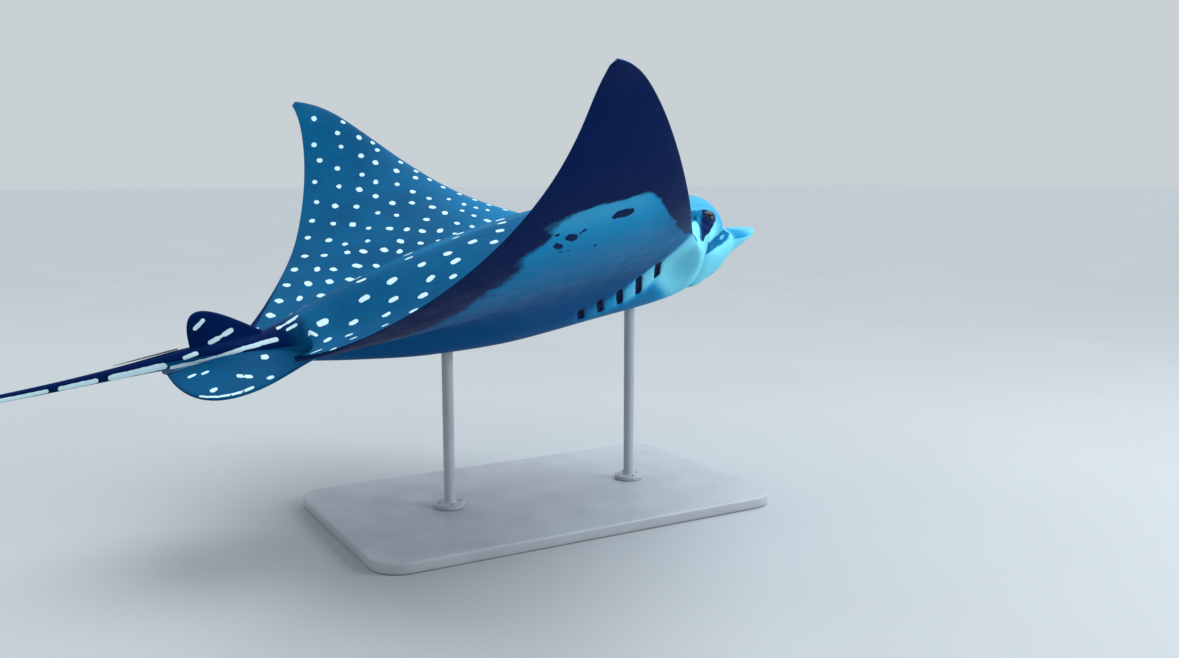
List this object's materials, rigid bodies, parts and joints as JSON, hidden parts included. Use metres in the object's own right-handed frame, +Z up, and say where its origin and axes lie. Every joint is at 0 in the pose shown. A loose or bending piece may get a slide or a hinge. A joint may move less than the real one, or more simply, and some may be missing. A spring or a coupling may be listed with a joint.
{
  "type": "spotted eagle ray model",
  "caption": "Life-size spotted eagle ray swimming with its wings raised and its nose up a little, held by a plain flat-based stand",
  "frame": {"origin": "middle of the underside of the stand's base", "axes": "+X the way the snout points, +Y the animal's left, +Z up"},
  "size_m": [4.4335, 1.4888, 0.8499],
  "materials": {
    "skin": "smooth wet skin, dark ocean blue with pale spots above, white below with dark wing margins",
    "eye": "glossy dark eye",
    "dentine": "dull horn-coloured spine",
    "stand": "satin pale grey paint on aluminium"
  },
  "bodies": {
    "root": {"rostral_lobe": "skin", "head": "skin", "trunk": "skin", "wing_left": "skin", "wing_right": "skin", "pelvic_fin_left": "skin", "pelvic_fin_right": "skin", "dorsal_fin": "skin", "tail_1": "skin", "tail_2": "skin", "tail_3": "skin", "tail_4": "skin", "tail_5": "skin", "eye_left": "eye", "eye_right": "eye", "sting": "dentine", "stand_base": "stand", "stand_rod_front": "stand", "stand_rod_rear": "stand"}
  },
  "joints": []
}
